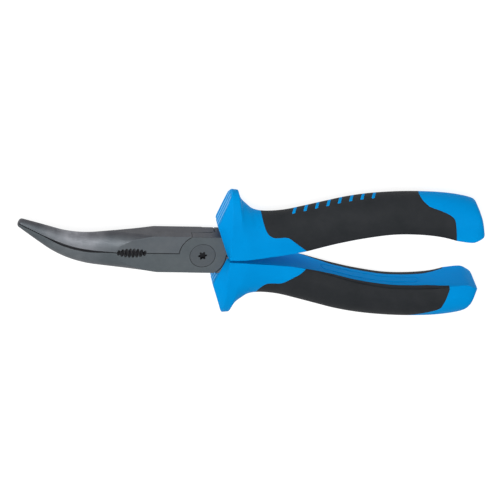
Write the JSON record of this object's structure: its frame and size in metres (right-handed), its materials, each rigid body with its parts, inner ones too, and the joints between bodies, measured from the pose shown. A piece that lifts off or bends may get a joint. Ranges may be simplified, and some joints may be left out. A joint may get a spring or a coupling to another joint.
{
  "type": "bent needle nose pliers",
  "caption": "Bent needle nose pliers with long half-round jaws, a toothed pipe grip, a flush pivot screw and two-component cushioned handles with finger guards.",
  "frame": {"origin": "middle of the closed tool's bounding box, on the plane it rests on when it lies flat", "axes": "+X along the tool towards the handle ends, with the jaws at -X; +Y towards the upper handle, the side the nose bends to; +Z along the pivot axis, out of the face with the screw head"},
  "size_m": [0.1984, 0.0584, 0.018],
  "materials": {
    "lever_steel": "dark burnished forged steel, satin",
    "screw_steel": "dark burnished, satin",
    "grip_core": "hard polypropylene, fine satin grain",
    "soft_cover": "soft thermoplastic rubber, matt fine grain"
  },
  "bodies": {
    "rear_half": {"rear_lever": "lever_steel", "pivot_screw": "screw_steel", "lower_grip_core": "grip_core", "lower_soft_cover": "soft_cover"},
    "front_half": {"front_lever": "lever_steel", "upper_grip_core": "grip_core", "upper_soft_cover": "soft_cover"}
  },
  "joints": [
    {"name": "pivot", "type": "hinge", "parent": "rear_half", "child": "front_half", "pos_m": [-0.02071, 0, 0.009], "axis": [0, 0, 1], "range_deg": [0, 40]}
  ]
}
